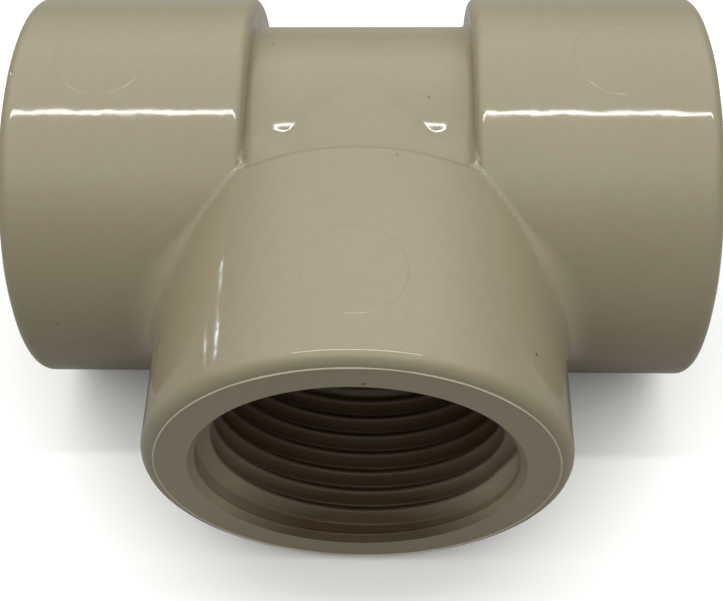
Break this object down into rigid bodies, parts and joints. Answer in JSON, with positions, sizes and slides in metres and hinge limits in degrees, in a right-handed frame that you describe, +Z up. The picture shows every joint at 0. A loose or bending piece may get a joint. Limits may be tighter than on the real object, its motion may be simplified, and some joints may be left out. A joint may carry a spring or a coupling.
{
  "type": "pvc tee fitting",
  "caption": "One-piece moulded PVC pipe tee: a straight run and a square branch, each ending in a round socket with a female pipe thread.",
  "frame": {"origin": "where the axis of the run and the axis of the branch cross, in the middle of the waterway", "axes": "+X along the run out of the right mouth, -Y out of the branch mouth, +Z up, square to both axes; the fitting lies on its three sockets on the plane z = -22 mm"},
  "size_m": [0.075, 0.0595, 0.0441],
  "materials": {
    "pvc_body": "cream-tan PVC-U, glossy as moulded, with faint flow marks and specks",
    "pvc_thread": "the same PVC-U inside the ports, slightly duller, with moulded threads",
    "pvc_mark": "the same PVC-U, thin raised witness line left by a mould insert"
  },
  "bodies": {
    "root": {"centre_body": "pvc_body", "left_socket": "pvc_body", "right_socket": "pvc_body", "branch_socket": "pvc_body", "left_thread": "pvc_thread", "right_thread": "pvc_thread", "branch_thread": "pvc_thread", "left_web": "pvc_body", "right_web": "pvc_body", "left_mark": "pvc_mark", "right_mark": "pvc_mark", "branch_mark": "pvc_mark"}
  },
  "joints": []
}
